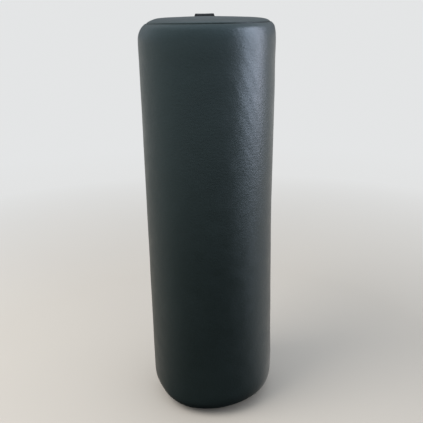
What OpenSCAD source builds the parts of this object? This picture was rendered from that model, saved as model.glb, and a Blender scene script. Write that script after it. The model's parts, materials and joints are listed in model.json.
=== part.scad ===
// Firm round bolster standing on one end.
// Foam and wadding filling inside a sewn leatherette cover, with a long zip down
// the back and a small webbing carry loop caught in the back of the top seam.
// The origin is the centre of the bottom end, +Z runs up the bolster's axis and
// +Y points to the back, where the zip and the carry loop are.

/* [Bolster] */
// Overall length from end to end
bolster_length = 624; // [580:1:680]
// Outside radius of the round body
body_radius = 100; // [96:1:108]
// Radius of the rounded top edge
top_rounding = 23; // [21:1:25]
// Radius of the rounded bottom edge, which is pressed softer by the weight
bottom_rounding = 40; // [36:1:43]
// Distance from the side of the body in to each end seam
seam_inset = 10; // [9:0.5:11]
// Thickness of the leatherette cover
cover_thickness = 1.2; // [1:0.1:1.4]
// Depth of the seam allowances turned to the inside
allowance_depth = 10; // [8:1:11]

/* [Filling] */
// Thickness of the wadding between the cover and the foam
wadding_thickness = 10.4; // [10.2:0.1:10.8]

/* [Zip] */
// Length of the zip from stop to stop
zip_length = 500; // [300:10:510]
// Width of the opening between the two turned cover edges
opening_width = 10; // [9.6:0.1:12]
// Width of one zip tape from the middle of the chain
tape_width = 16; // [14:1:18]
// Length of the slider
slider_length = 12; // [11:1:14]
// Length of the pull from its hinge to its tip
pull_length = 26; // [20:1:34]
// Distance from one topstitch to the next
stitch_pitch = 6.25; // [5:0.25:8]

/* [Carry loop] */
// Width of the loop at its folded top
loop_top_width = 24.6; // [20:0.1:28]
// Width of the loop where it comes out of the seam
loop_base_width = 31; // [29:0.5:33]
// Height of the loop above its fold line
loop_height = 6.9; // [6:0.1:12]
// Thickness of the webbing
webbing_thickness = 1.3; // [1:0.1:1.4]

/* [Hidden] */
$fn = 96;

// Small gaps that keep neighbouring pieces apart
cloth_gap = 0.1;
sliding_gap = 0.1;
pin_gap = 0.05;
filling_gap = 0.3;
// A cutting tool reaches past the surface it cuts by this much
overshoot = 4;

// End seams
seam_radius = body_radius - seam_inset;
top_seam_z = top_outline_z(seam_radius);
bottom_seam_z = bottom_outline_z(seam_radius);
valley_radius = 1;
thread_radius = 0.4;
seam_thread_depth = 2.5;

// Filling layers, measured inwards from the outside of the cover
wadding_inset = cover_thickness + filling_gap;
foam_inset = wadding_inset + wadding_thickness + cloth_gap;
pad_radius = seam_radius - cover_thickness - 2 * cloth_gap;
wrap_end_radius = seam_radius + cover_thickness + filling_gap;
pad_rim_depth = 17;
bottom_pad_rim_height = 24;
allowance_clearance = 0.5;

// Zip layers, as radii from the bolster's axis
turned_edge_radius = body_radius - 2 * cover_thickness;
turned_edge_width = tape_width + 1;
tape_thickness = 0.55;
tape_outer_radius = turned_edge_radius - cloth_gap;
tape_inner_radius = tape_outer_radius - tape_thickness;
tape_split = 0.6;
coil_radius = 1.2;
coil_x = tape_split + coil_radius;
coil_y = tape_outer_radius + coil_radius + cloth_gap / 2;
zip_bottom_z = (bolster_length - zip_length) / 2;
zip_top_z = zip_bottom_z + zip_length;
tape_end = 8;
stop_length = 4;

// Slider, with its plates above and below the tapes
plate_thickness = 1.2;
flange_thickness = 1.3;
slider_half_width = coil_x + coil_radius + sliding_gap + flange_thickness;
top_plate_y = coil_y + coil_radius + sliding_gap;
bottom_plate_y = tape_inner_radius - 0.2 - plate_thickness;
blade_half_width = tape_split - sliding_gap;
blade_length = 3;
slider_rest_z = zip_top_z - stop_length - slider_length / 2 - 1;

// Pull and the eye it hangs from
eye_radius = 2;
eye_half_width = 1.2;
pull_pin_radius = 0.8;
pull_arm_width = 1.3;
pull_half_width = eye_half_width + 0.15 + pull_arm_width;
pull_arm_length = 6;
pull_hinge_y = top_plate_y + plate_thickness + 1.6;

// Topstitching beside the zip
stitch_x = 9;
stitch_length = 3.8;
stitch_y = sqrt(pow(body_radius + thread_radius + cloth_gap, 2) - pow(stitch_x, 2));

// Carry loop, hinged where it comes out of the seam
loop_axis_z = top_seam_z + 1.6;
loop_bead_radius = webbing_thickness + 0.1;
loop_fold_radius = webbing_thickness + 0.7;
loop_fold_z = loop_height - loop_fold_radius;
tail_half_thickness = webbing_thickness + 0.05;
tail_length = 10;
tail_top_z = top_seam_z - 0.8;
bartack_radius = 0.35;
bartack_pitch = 3;
bartack_rows = [3.5, 7];

// Height of the top rounding at a given distance from the axis
function top_outline_z(radius) =
    bolster_length - top_rounding
    + sqrt(pow(top_rounding, 2) - pow(radius - body_radius + top_rounding, 2));

// Height of the bottom rounding at a given distance from the axis
function bottom_outline_z(radius) =
    bottom_rounding
    - sqrt(pow(bottom_rounding, 2) - pow(radius - body_radius + bottom_rounding, 2));

// Half outline of the bolster, drawn smaller by the inset on every side
module body_outline(inset) {
    straight_length = bolster_length - top_rounding - bottom_rounding;
    translate([0, bottom_rounding])
        square([body_radius - inset, straight_length]);
    translate([0, inset])
        square([body_radius - bottom_rounding, bottom_rounding]);
    translate([0, bolster_length - top_rounding - inset])
        square([body_radius - top_rounding, top_rounding]);
    translate([body_radius - top_rounding, bolster_length - top_rounding])
        circle(r = top_rounding - inset);
    translate([body_radius - bottom_rounding, bottom_rounding])
        circle(r = bottom_rounding - inset);
}

// Half section of the layer between two insets
module layer_outline(outer_inset, inner_inset) {
    difference() {
        body_outline(outer_inset);
        body_outline(inner_inset);
    }
}

// Everything outside the given radius, as a half section
module outside_radius(radius) {
    translate([radius, -overshoot])
        square([body_radius, bolster_length + 2 * overshoot]);
}

// The valley on the outside of a seam and the groove for its thread inside
module seam_grooves() {
    for (seam = [[top_seam_z, -1], [bottom_seam_z, 1]]) {
        translate([seam_radius, seam[0]])
            circle(r = valley_radius, $fn = 48);
        translate([seam_radius, seam[0] + seam[1] * seam_thread_depth])
            circle(r = thread_radius + pin_gap, $fn = 32);
    }
}

// Half section of a seam allowance whose inner side starts at the given radius
module allowance(radius, seam_z, inwards) {
    low_z = inwards < 0 ? seam_z - allowance_depth : 0;
    high_z = inwards < 0 ? bolster_length : seam_z + allowance_depth;
    intersection() {
        body_outline(0);
        translate([radius, low_z])
            square([cover_thickness, high_z - low_z]);
    }
}

// An upright strip that follows the round back between two radii
module back_strip(inner_radius, outer_radius, left_x, right_x, low_z, high_z) {
    translate([0, 0, low_z])
        linear_extrude(high_z - low_z)
            intersection() {
                difference() {
                    circle(r = outer_radius);
                    circle(r = inner_radius);
                }
                translate([left_x, 0])
                    square([right_x - left_x, outer_radius + overshoot]);
            }
}

// A rod lying across the bolster at the given place
module cross_rod(radius, length, y, z) {
    translate([-length / 2, y, z])
        rotate([0, 90, 0])
            cylinder(r = radius, h = length, $fn = 48);
}

// Room in the seam for the end of the webbing
module loop_pocket(extra) {
    half_width = loop_base_width / 2 + extra;
    half_depth = tail_half_thickness + extra;
    translate([-half_width, seam_radius - half_depth, tail_top_z - tail_length - extra])
        cube([2 * half_width, 2 * half_depth, tail_length + overshoot]);
    cross_rod(loop_bead_radius + extra, 2 * half_width, seam_radius, loop_axis_z);
}

// Firm foam cylinder with softened edges
module foam_core() {
    color("gold")
        rotate_extrude()
            body_outline(foam_inset);
}

// Wadding wound round the foam, relieved for the seams, the zip and the loop
module wadding_wrap() {
    color("ivory")
        difference() {
            rotate_extrude()
                difference() {
                    layer_outline(wadding_inset, foam_inset - cloth_gap);
                    translate([0, top_seam_z - allowance_depth - allowance_clearance])
                        square([wrap_end_radius, bolster_length]);
                    translate([0, bolster_length - pad_rim_depth - allowance_clearance])
                        square([pad_radius + cloth_gap, bolster_length]);
                    square([wrap_end_radius,
                            bottom_seam_z + allowance_depth + allowance_clearance]);
                    square([pad_radius + cloth_gap,
                            bottom_pad_rim_height + allowance_clearance]);
                }
            back_strip(tape_inner_radius - cloth_gap, body_radius,
                       -turned_edge_width - 1, turned_edge_width + 1,
                       zip_bottom_z - tape_end - 1, zip_top_z + tape_end + 1);
            translate([-slider_half_width - 1, bottom_plate_y - filling_gap, zip_bottom_z - 1])
                cube([2 * slider_half_width + 2, body_radius, zip_length + 2]);
            loop_pocket(1);
        }
}

// Round wadding pad under the top end cap
module top_wadding_pad() {
    color("ivory")
        rotate_extrude()
            intersection() {
                layer_outline(wadding_inset, foam_inset - cloth_gap);
                translate([0, bolster_length - pad_rim_depth])
                    square([pad_radius - cloth_gap, pad_rim_depth]);
            }
}

// Round wadding pad over the bottom end cap
module bottom_wadding_pad() {
    color("ivory")
        rotate_extrude()
            intersection() {
                layer_outline(wadding_inset, foam_inset - cloth_gap);
                square([pad_radius - cloth_gap, bottom_pad_rim_height]);
            }
}

// Leatherette panel round the side, with its edges turned in at both seams and
// doubled under along the zip opening
module cover_tube() {
    panel_edge = seam_radius + cloth_gap / 2;
    color("darkslategray")
        difference() {
            union() {
                rotate_extrude()
                    difference() {
                        union() {
                            intersection() {
                                layer_outline(0, cover_thickness);
                                outside_radius(panel_edge);
                            }
                            allowance(panel_edge, top_seam_z, -1);
                            allowance(panel_edge, bottom_seam_z, 1);
                        }
                        seam_grooves();
                    }
                back_strip(turned_edge_radius, body_radius - cover_thickness / 2,
                           -turned_edge_width, turned_edge_width,
                           zip_bottom_z - tape_end, zip_top_z + tape_end);
            }
            translate([-opening_width / 2, seam_radius, zip_bottom_z])
                cube([opening_width, seam_inset + overshoot, zip_length]);
            loop_pocket(cloth_gap);
        }
}

// Round leatherette end with its edge turned in at the seam
module end_cap(seam_z, inwards) {
    cap_radius = seam_radius - cloth_gap / 2;
    low_z = inwards < 0 ? bolster_length / 2 : 0;
    rotate_extrude()
        difference() {
            union() {
                intersection() {
                    layer_outline(0, cover_thickness);
                    translate([0, low_z])
                        square([cap_radius, bolster_length / 2]);
                }
                allowance(cap_radius - cover_thickness, seam_z, inwards);
            }
            seam_grooves();
        }
}

module top_end_cap() {
    color("darkslategray")
        difference() {
            end_cap(top_seam_z, -1);
            loop_pocket(cloth_gap);
        }
}

module bottom_end_cap() {
    color("darkslategray")
        end_cap(bottom_seam_z, 1);
}

// One closed run of sewing thread through the allowances of an end seam
module seam_thread(thread_z, radius) {
    rotate_extrude()
        translate([seam_radius, thread_z])
            circle(r = radius, $fn = 32);
}

module top_seam_thread() {
    color("black")
        seam_thread(top_seam_z - seam_thread_depth, thread_radius);
}

module bottom_seam_thread() {
    color("black")
        seam_thread(bottom_seam_z + seam_thread_depth, thread_radius);
}

// Woven tape on the right-hand side, +X
module zip_tape() {
    back_strip(tape_inner_radius, tape_outer_radius, tape_split, tape_width,
               zip_bottom_z - tape_end + 1, zip_top_z + tape_end - 1);
}

// Coil on the edge of the right-hand tape
module zip_coil() {
    translate([coil_x, coil_y, zip_bottom_z + stop_length])
        cylinder(r = coil_radius, h = zip_length - 2 * stop_length, $fn = 48);
}

module zip_tape_left() {
    color("dimgray")
        mirror([1, 0, 0])
            zip_tape();
}

module zip_tape_right() {
    color("dimgray")
        zip_tape();
}

module zip_coil_left() {
    color("gray")
        mirror([1, 0, 0])
            zip_coil();
}

module zip_coil_right() {
    color("gray")
        zip_coil();
}

// Two small clamps that stop the slider at the top of the chain
module zip_top_stops() {
    color("silver")
        for (side = [-1, 1])
            translate([side * coil_x - coil_radius, coil_y - coil_radius,
                       zip_top_z - stop_length + cloth_gap])
                cube([2 * coil_radius, 2 * coil_radius, stop_length - 2 * cloth_gap]);
}

// One wide clamp that joins both tapes at the bottom of the chain
module zip_bottom_stop() {
    half_width = coil_x + coil_radius;
    color("silver")
        translate([-half_width, coil_y - coil_radius, zip_bottom_z + cloth_gap])
            cube([2 * half_width, 2 * coil_radius, stop_length - 2 * cloth_gap]);
}

// Outline of a slider plate, rounded where the open tapes enter it
module slider_plate(y) {
    translate([0, y + plate_thickness, slider_rest_z])
        rotate([90, 0, 0])
            linear_extrude(plate_thickness)
                intersection() {
                    square([2 * slider_half_width, slider_length], center = true);
                    circle(r = slider_length / 2 + 1);
                }
}

// Zip slider, with a blade between the coils and an eye for the pull
module zip_slider() {
    flange_y = tape_outer_radius + 0.15;
    low_z = slider_rest_z - slider_length / 2;
    high_z = slider_rest_z + slider_length / 2;
    eye_foot_y = top_plate_y + plate_thickness / 2;
    color("silver")
        difference() {
            union() {
                slider_plate(top_plate_y);
                slider_plate(bottom_plate_y);
                for (side = [0, 1])
                    mirror([side, 0, 0])
                        translate([slider_half_width - flange_thickness, flange_y, low_z + 1.5])
                            cube([flange_thickness, top_plate_y - flange_y + 0.5,
                                  slider_length - 3]);
                translate([-blade_half_width, bottom_plate_y + plate_thickness / 2,
                           high_z - blade_length - 0.5])
                    cube([2 * blade_half_width,
                          top_plate_y - bottom_plate_y, blade_length]);
                translate([-eye_half_width, eye_foot_y, slider_rest_z - eye_radius])
                    cube([2 * eye_half_width, pull_hinge_y - eye_foot_y, 2 * eye_radius]);
                cross_rod(eye_radius, 2 * eye_half_width, pull_hinge_y, slider_rest_z);
            }
            cross_rod(pull_pin_radius + pin_gap, 4 * eye_half_width, pull_hinge_y,
                      slider_rest_z);
        }
}

// Pull tab with two arms and the pin that turns in the slider's eye
module zip_pull() {
    tab_radius = pull_half_width + 0.6;
    tab_bottom = pull_length - tab_radius;
    color("silver") {
        cross_rod(pull_pin_radius, 2 * pull_half_width, pull_hinge_y, slider_rest_z);
        for (side = [0, 1])
            mirror([side, 0, 0])
                translate([pull_half_width - pull_arm_width, pull_hinge_y - pull_pin_radius,
                           slider_rest_z - pull_arm_length])
                    cube([pull_arm_width, 2 * pull_pin_radius, pull_arm_length]);
        translate([0, pull_hinge_y + pull_pin_radius, slider_rest_z])
            rotate([90, 0, 0])
                linear_extrude(2 * pull_pin_radius)
                    difference() {
                        union() {
                            translate([-tab_radius, -tab_bottom])
                                square([2 * tab_radius, tab_bottom - pull_arm_length + 1.5]);
                            translate([0, -tab_bottom])
                                circle(r = tab_radius, $fn = 48);
                        }
                        translate([0, -tab_bottom])
                            circle(r = tab_radius / 2, $fn = 48);
                    }
    }
}

// Two rows of separate stitches that hold the tapes under the turned edges
module zip_topstitching() {
    stitch_count = floor(zip_length / stitch_pitch);
    color("black")
        for (side = [-1, 1])
            for (i = [0 : stitch_count - 1])
                translate([side * stitch_x, stitch_y, zip_bottom_z + (i + 0.2) * stitch_pitch])
                    cylinder(r = thread_radius, h = stitch_length, $fn = 16);
}

// Side view of the folded webbing, with its fold line at the origin
module loop_side(bead_radius, fold_radius) {
    circle(r = bead_radius, $fn = 48);
    polygon([[-bead_radius, 0], [bead_radius, 0],
             [fold_radius, loop_fold_z], [-fold_radius, loop_fold_z]]);
    translate([0, loop_fold_z])
        circle(r = fold_radius, $fn = 48);
}

// Free part of the folded webbing, which stands up out of the seam and flexes there
module carry_loop() {
    base = loop_base_width / 2;
    top = loop_top_width / 2;
    eye_bottom = 2 * loop_bead_radius;
    eye_radius_inside = loop_fold_radius - webbing_thickness;
    color("dimgray")
        translate([0, seam_radius, loop_axis_z])
            intersection() {
                rotate([90, 0, 90])
                    linear_extrude(loop_base_width, center = true)
                        difference() {
                            loop_side(loop_bead_radius, loop_fold_radius);
                            translate([0, loop_fold_z])
                                circle(r = eye_radius_inside, $fn = 32);
                            polygon([[-eye_radius_inside, loop_fold_z],
                                     [eye_radius_inside, loop_fold_z],
                                     [0, eye_bottom]]);
                        }
                rotate([90, 0, 0])
                    linear_extrude(4 * loop_fold_radius, center = true)
                        polygon([[-base, -loop_bead_radius - 1], [base, -loop_bead_radius - 1],
                                 [base, 0], [top, loop_height + 1],
                                 [-top, loop_height + 1], [-base, 0]]);
            }
}

// The bartack's places across the tails
module bartack_holes(radius) {
    half_count = floor(loop_base_width / 2 / bartack_pitch) - 1;
    for (row = bartack_rows)
        for (i = [-half_count : half_count])
            translate([i * bartack_pitch, seam_radius + tail_half_thickness, tail_top_z - row])
                rotate([90, 0, 0])
                    cylinder(r = radius, h = 2 * tail_half_thickness, $fn = 24);
}

// Both ends of the webbing, caught between the seam allowances
module carry_loop_tails() {
    color("dimgray")
        difference() {
            translate([-loop_base_width / 2, seam_radius - tail_half_thickness,
                       tail_top_z - tail_length])
                cube([loop_base_width, 2 * tail_half_thickness, tail_length]);
            cross_rod(loop_bead_radius + cloth_gap, 2 * loop_base_width, seam_radius,
                      loop_axis_z);
            seam_thread(top_seam_z - seam_thread_depth, thread_radius + pin_gap);
            bartack_holes(bartack_radius + pin_gap);
        }
}

// Two rows of stitches through the tails
module carry_loop_bartack() {
    color("black")
        bartack_holes(bartack_radius);
}

foam_core();
wadding_wrap();
top_wadding_pad();
bottom_wadding_pad();
cover_tube();
top_end_cap();
bottom_end_cap();
top_seam_thread();
bottom_seam_thread();
zip_tape_left();
zip_tape_right();
zip_coil_left();
zip_coil_right();
zip_top_stops();
zip_bottom_stop();
zip_slider();
zip_pull();
zip_topstitching();
carry_loop();
carry_loop_tails();
carry_loop_bartack();
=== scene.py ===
"""Visual model of a round massage bolster in dark leatherette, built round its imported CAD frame.

The cover's three panels are cloth-simulated sheets with turned seams. The zip, the
webbing loop and the filling are built in mesh code. All sizes are in metres.
"""

import json
import math

import bmesh
import bpy
import numpy as np
from mathutils import Matrix, Vector, noise


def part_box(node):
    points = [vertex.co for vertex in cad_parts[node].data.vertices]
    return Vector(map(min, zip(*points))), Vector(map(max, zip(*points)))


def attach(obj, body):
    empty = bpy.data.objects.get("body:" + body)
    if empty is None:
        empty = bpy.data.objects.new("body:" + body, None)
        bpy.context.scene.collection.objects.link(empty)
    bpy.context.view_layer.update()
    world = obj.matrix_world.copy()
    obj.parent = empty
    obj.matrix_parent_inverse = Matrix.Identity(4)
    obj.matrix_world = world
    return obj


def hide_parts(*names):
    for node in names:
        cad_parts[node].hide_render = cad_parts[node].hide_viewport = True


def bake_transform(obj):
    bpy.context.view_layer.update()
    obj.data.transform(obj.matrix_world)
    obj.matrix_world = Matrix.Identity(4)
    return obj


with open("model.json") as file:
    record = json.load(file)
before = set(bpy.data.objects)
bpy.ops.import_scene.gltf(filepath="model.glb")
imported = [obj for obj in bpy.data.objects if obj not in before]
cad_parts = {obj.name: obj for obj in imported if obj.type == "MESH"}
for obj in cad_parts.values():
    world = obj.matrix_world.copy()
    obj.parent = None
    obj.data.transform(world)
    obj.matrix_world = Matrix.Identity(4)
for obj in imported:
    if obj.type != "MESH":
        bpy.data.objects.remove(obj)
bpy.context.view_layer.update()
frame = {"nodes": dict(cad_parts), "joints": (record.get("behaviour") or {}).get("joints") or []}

MM = 0.001
TURN = 2 * math.pi

# ---------------------------------------------------------------- sizes from the frame
JOINTS = {joint["name"]: joint for joint in frame["joints"]}
BODY_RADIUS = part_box("cover_tube")[1].x
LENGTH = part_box("top_end_cap")[1].z
LOOP_HINGE = Vector(JOINTS["loop_flex"]["pos_m"])
PULL_HINGE = Vector(JOINTS["pull_swing"]["pos_m"])
SEAM_RADIUS = LOOP_HINGE.y

# The outline's roundings, as the CAD model draws them
TOP_ROUNDING = 23 * MM
BOTTOM_ROUNDING = 40 * MM

# The sheet that the cover is sewn from
SHEET = 1.1 * MM
ROLL = 1.85 * MM
ALLOWANCE = 8.5 * MM
SEAM_GAP = 0.06 * MM
SEAM_SHADE = 2.6 * MM
TOP_PUFF = 1.25 * MM
BOTTOM_PUFF = 0.5 * MM
CAP_PUFF = 0.5 * MM
CROWN = 0.3 * MM
BULGE = 0.85 * MM
SETTLE_FRAMES = 20

# The filling under it
FILL_INSET = 1.9 * MM
PAD_THICKNESS = 10 * MM
PAD_RIM = 88.4 * MM

# The opening for the zip and the rows of stitches beside it
ZIP_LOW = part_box("zip_topstitching")[0].z - 1.25 * MM
ZIP_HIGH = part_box("zip_top_stops")[1].z + 0.1 * MM
OPENING = 5 * MM
STITCH_X = 9 * MM
STITCH_PITCH = 6.25 * MM
STITCH_LENGTH = 4.3 * MM

# Where the webbing leaves the top seam
LOOP_BASE = (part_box("carry_loop_tails")[1].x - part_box("carry_loop_tails")[0].x) / 2 + 1.5 * MM
LOOP_TOP = 14.6 * MM
LOOP_SHIFT = -3.4 * MM
LOOP_GAP = 1.5 * MM


# ---------------------------------------------------------------- small helpers
def smoothstep(value, low, high):
    t = np.clip((value - low) / (high - low), 0, 1)
    return t * t * (3 - 2 * t)


def noise_at(points, wavelength, seed):
    """Smooth noise between about -1 and 1 at each point."""
    offset = Vector((seed * 7.3, seed * 3.1, seed * 5.7))
    return np.array([noise.noise(Vector(p) / wavelength + offset) for p in points])


def arc(centre, radius, start, end, count):
    """Points from one angle to another, in degrees, in the (radius, height) plane."""
    angles = np.radians(np.linspace(start, end, count))
    return np.c_[centre[0] + radius * np.cos(angles), centre[1] + radius * np.sin(angles)]


def line(start, end, count):
    return np.linspace(start, end, count)


def bell(value, centre, width):
    """One at the centre, fading on both sides."""
    return np.exp(-((value - centre) / width) ** 2)


def hump(value, centre, half_width):
    """One at the centre, falling smoothly to zero at half a width to each side."""
    return np.cos(np.clip((value - centre) / half_width, -1, 1) * math.pi / 2) ** 2


def join_outline(first, *others):
    """One outline from parts whose ends meet."""
    return np.vstack([first] + [part[1:] for part in others])


def grid_faces(rows, columns, closed=False):
    """Quads between neighbouring rows of a grid, and from the last row to the first if closed."""
    faces = []
    for row in range(rows if closed else rows - 1):
        above = (row + 1) % rows
        for column in range(columns):
            after = (column + 1) % columns
            faces.append((row * columns + column, row * columns + after,
                          above * columns + after, above * columns + column))
    return faces


def fan_faces(first, count, centre, flip=False):
    """Triangles from a ring of points to the point at its centre."""
    pairs = [(first + i, first + (i + 1) % count) for i in range(count)]
    return [(b, a, centre) if flip else (a, b, centre) for a, b in pairs]


def smooth_shade(mesh):
    mesh.polygons.foreach_set("use_smooth", [True] * len(mesh.polygons))


def new_object(name, vertices, faces, material=None):
    mesh = bpy.data.meshes.new(name)
    mesh.from_pydata([tuple(v) for v in vertices], [], [tuple(f) for f in faces])
    mesh.validate()
    smooth_shade(mesh)
    obj = bpy.data.objects.new(name, mesh)
    bpy.context.scene.collection.objects.link(obj)
    if material:
        mesh.materials.append(material)
    return obj


def store(work, obj):
    """Writes an edited mesh back to its object."""
    work.to_mesh(obj.data)
    work.free()
    smooth_shade(obj.data)


def remove_object(obj):
    mesh = obj.data
    bpy.data.objects.remove(obj)
    bpy.data.meshes.remove(mesh)


def coordinates(obj):
    co = np.zeros(len(obj.data.vertices) * 3)
    obj.data.vertices.foreach_get("co", co)
    return co.reshape(-1, 3)


def set_coordinates(obj, points):
    obj.data.vertices.foreach_set("co", np.asarray(points, float).ravel())
    obj.data.update()


def vertex_normals(obj):
    normals = np.zeros(len(obj.data.vertices) * 3)
    obj.data.vertex_normals.foreach_get("vector", normals)
    return normals.reshape(-1, 3)


def bake_modifiers(obj):
    """Applies every modifier to the object's own mesh."""
    evaluated = obj.evaluated_get(bpy.context.evaluated_depsgraph_get())
    mesh = bpy.data.meshes.new_from_object(evaluated)
    old = obj.data
    obj.modifiers.clear()
    obj.data = mesh
    bpy.data.meshes.remove(old)
    mesh.name = obj.name
    smooth_shade(mesh)


def subdivide(obj):
    modifier = obj.modifiers.new("smooth", "SUBSURF")
    modifier.levels = modifier.render_levels = 1
    bake_modifiers(obj)


def thicken(obj, thickness):
    """Turns a sheet into a closed shell, with its thickness on the back of the faces."""
    modifier = obj.modifiers.new("thickness", "SOLIDIFY")
    modifier.thickness = thickness
    modifier.offset = -1
    modifier.use_even_offset = False
    modifier.use_rim = True
    bake_modifiers(obj)


def finish_piece(obj, body, slot, *nodes):
    """Hides the CAD nodes of a finished piece and attaches it to its body; the slot is not used.
    """
    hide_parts(*nodes)
    if body:
        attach(obj, body)


# ---------------------------------------------------------------- revolved sheets
def revolve_grid(outline, angles, closed=False):
    """Points and quads of an outline swept round Z; rows follow the outline."""
    radii, heights = outline[:, 0], outline[:, 1]
    x = np.outer(radii, np.cos(angles))
    y = np.outer(radii, np.sin(angles))
    z = np.repeat(heights[:, None], len(angles), axis=1)
    points = np.stack([x, y, z], axis=-1).reshape(-1, 3)
    return points, grid_faces(len(outline), len(angles), closed)


def settle(points, faces, pinned, stiffness, limit):
    """Blows a sheet up with Blender's cloth and returns its points, moved at most the limit."""
    obj = new_object("settling_sheet", points, faces)
    group = obj.vertex_groups.new(name="pinned")
    for weight in (1.0, 0.6, 0.3):
        chosen = np.nonzero(np.isclose(pinned, weight))[0]
        group.add([int(i) for i in chosen], weight, "REPLACE")
    modifier = obj.modifiers.new("cloth", "CLOTH")
    settings = modifier.settings
    settings.quality = 6
    settings.mass = 0.3
    settings.tension_stiffness = stiffness
    settings.compression_stiffness = stiffness
    settings.shear_stiffness = stiffness / 2
    settings.bending_stiffness = 2
    settings.vertex_group_mass = "pinned"
    settings.effector_weights.gravity = 0
    settings.use_pressure = True
    settings.uniform_pressure_force = 4
    modifier.collision_settings.use_collision = False
    scene = bpy.context.scene
    scene.frame_start = modifier.point_cache.frame_start = 1
    scene.frame_end = modifier.point_cache.frame_end = SETTLE_FRAMES
    for number in range(1, SETTLE_FRAMES + 1):
        scene.frame_set(number)
    evaluated = obj.evaluated_get(bpy.context.evaluated_depsgraph_get())
    move = coordinates(evaluated) - points
    scene.frame_set(1)
    remove_object(obj)
    distance = np.maximum(np.linalg.norm(move, axis=1), 1e-12)
    share = limit * np.tanh(distance / limit) / distance
    return points + move * share[:, None]


def pucker(points, seam_z, seed):
    """Fine gathers that the sewing pulls into the sheet, fading away from a seam."""
    radius = np.hypot(points[:, 0], points[:, 1])
    distance = np.hypot(radius - SEAM_RADIUS, points[:, 2] - seam_z)
    theta = np.arctan2(points[:, 1], points[:, 0])
    ring = np.c_[np.cos(theta), np.sin(theta), 0 * theta]
    strength = 0.6 + 0.8 * noise_at(ring, 0.35, seed)
    phase = 2.2 * noise_at(ring, 0.5, seed + 3)
    waves = np.cos(56 * theta + 3 * phase) + 0.7 * np.cos(23 * theta + 5 * phase)
    fade = np.exp(-distance / (7 * MM)) * smoothstep(distance, 0.8 * MM, 3 * MM)
    return 0.16 * MM * np.clip(strength, 0, 2) * waves * fade


# ---------------------------------------------------------------- outlines of the three panels
def seam_roll(corner, big_radius, roll_x, upward):
    """Centre height and tangent angle of the small roll where a panel turns in at a seam."""
    dx = roll_x - corner[0]
    dy = math.sqrt((big_radius - ROLL) ** 2 - dx ** 2)
    return corner[1] + upward * dy, math.degrees(math.atan2(dy, dx))


TOP_CORNER = (BODY_RADIUS - TOP_ROUNDING, LENGTH - TOP_ROUNDING)
BOTTOM_CORNER = (BODY_RADIUS - BOTTOM_ROUNDING, BOTTOM_ROUNDING)


def tube_outline():
    edge = SEAM_RADIUS + SEAM_GAP / 2
    low_z, low_angle = seam_roll(BOTTOM_CORNER, BOTTOM_ROUNDING + BOTTOM_PUFF, edge + ROLL, -1)
    high_z, high_angle = seam_roll(TOP_CORNER, TOP_ROUNDING + TOP_PUFF, edge + ROLL, 1)
    low_puff = BOTTOM_PUFF * smoothstep(np.linspace(1, 0, 11), 0.1, 1)
    high_puff = TOP_PUFF * smoothstep(np.linspace(0, 1, 10), 0.1, 1)
    side = BODY_RADIUS
    return join_outline(
        line((edge, low_z + ALLOWANCE), (edge, low_z), 4),
        arc((edge + ROLL, low_z), ROLL, 180, 360 - low_angle, 7),
        arc(BOTTOM_CORNER, BOTTOM_ROUNDING + low_puff, -low_angle, 0, 11),
        line((side, BOTTOM_ROUNDING), (side, ZIP_LOW), 4),
        line((side, ZIP_LOW), (side, ZIP_HIGH), 62),
        line((side, ZIP_HIGH), (side, LENGTH - TOP_ROUNDING), 6),
        arc(TOP_CORNER, TOP_ROUNDING + high_puff, 0, high_angle, 10),
        arc((edge + ROLL, high_z), ROLL, high_angle, 180, 7),
        line((edge, high_z), (edge, high_z - ALLOWANCE), 4),
    )


def top_cap_outline():
    edge = SEAM_RADIUS - SEAM_GAP / 2
    roll_z, angle = seam_roll(TOP_CORNER, TOP_ROUNDING + CAP_PUFF, edge - ROLL, 1)
    puff = CAP_PUFF * smoothstep(np.linspace(1, 0, 8), 0, 1)
    radii = np.linspace(TOP_CORNER[0], 3 * MM, 15)
    crown = LENGTH + CROWN * (1 - (radii / TOP_CORNER[0]) ** 2) ** 2
    return join_outline(
        line((edge, roll_z - ALLOWANCE), (edge, roll_z), 4),
        arc((edge - ROLL, roll_z), ROLL, 0, angle, 6),
        arc(TOP_CORNER, TOP_ROUNDING + puff, angle, 90, 8),
        np.c_[radii, crown],
    )


def bottom_cap_outline():
    edge = SEAM_RADIUS - SEAM_GAP / 2
    roll_z, angle = seam_roll(BOTTOM_CORNER, BOTTOM_ROUNDING, edge - ROLL, -1)
    radii = np.linspace(3 * MM, BOTTOM_CORNER[0], 12)
    return join_outline(
        np.c_[radii, np.zeros(len(radii))],
        arc(BOTTOM_CORNER, BOTTOM_ROUNDING, -90, -angle, 9),
        arc((edge - ROLL, roll_z), ROLL, -angle, 0, 6),
        line((edge, roll_z), (edge, roll_z + ALLOWANCE), 4),
    )


def tube_angles():
    """Column angles: close together beside the zip and even round the rest."""
    slot = math.asin(OPENING / BODY_RADIUS)
    near = slot + np.radians([0, 0.23, 0.57, 1.1, 1.7, 2.3, 3.1, 4.2, 5.6])
    inside = np.linspace(-slot, slot, 5)[1:-1]
    rest = np.linspace(near[-1], TURN - near[-1], 144)[1:-1]
    from_back = np.concatenate([inside, near, -near, rest])
    return np.sort((math.pi / 2 + from_back) % TURN)


def loop_window(points):
    """One where the webbing passes through the top seam and zero away from it."""
    across = 1 - smoothstep(np.abs(points[:, 0] - LOOP_SHIFT), LOOP_BASE - 0.5 * MM,
                            LOOP_BASE + 4 * MM)
    return across * (points[:, 1] > 0) * (points[:, 2] > LENGTH / 2)


def move_radially(points, distance):
    radius = np.maximum(np.hypot(points[:, 0], points[:, 1]), 1e-9)
    scale = (radius + distance) / radius
    return np.c_[points[:, 0] * scale, points[:, 1] * scale, points[:, 2]]


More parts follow.
